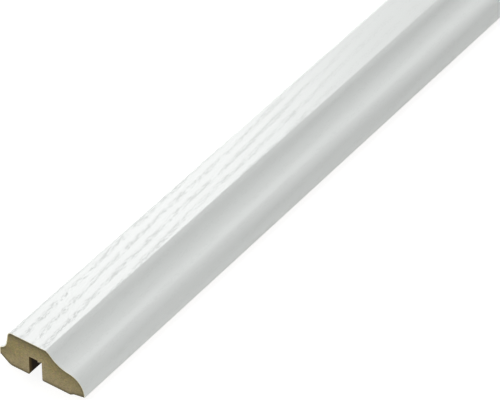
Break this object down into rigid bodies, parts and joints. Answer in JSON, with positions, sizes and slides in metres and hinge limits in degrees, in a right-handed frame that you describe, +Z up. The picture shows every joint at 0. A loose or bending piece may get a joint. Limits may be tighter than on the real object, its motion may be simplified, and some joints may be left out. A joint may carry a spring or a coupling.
{
  "type": "cornice moulding",
  "caption": "Foil-wrapped MDF cornice moulding with an ogee front, a small cove along its back edge, a flat ash-grain face and a clip groove in its bare underside.",
  "frame": {"origin": "on the floor, under the middle of the bar as it lies on its back", "axes": "+X along the length, away from the cut end in the picture; the ogee faces -Y, the cove faces +Y; +Z up, out of the flat face"},
  "size_m": [2.4, 0.04, 0.0165],
  "materials": {
    "mdf": "bare milled fibreboard, fuzzy sawn ends",
    "foil": "satin white decor foil with a fine ash grain along the length"
  },
  "bodies": {
    "root": {"mdf_core": "mdf", "decor_foil": "foil"}
  },
  "joints": []
}
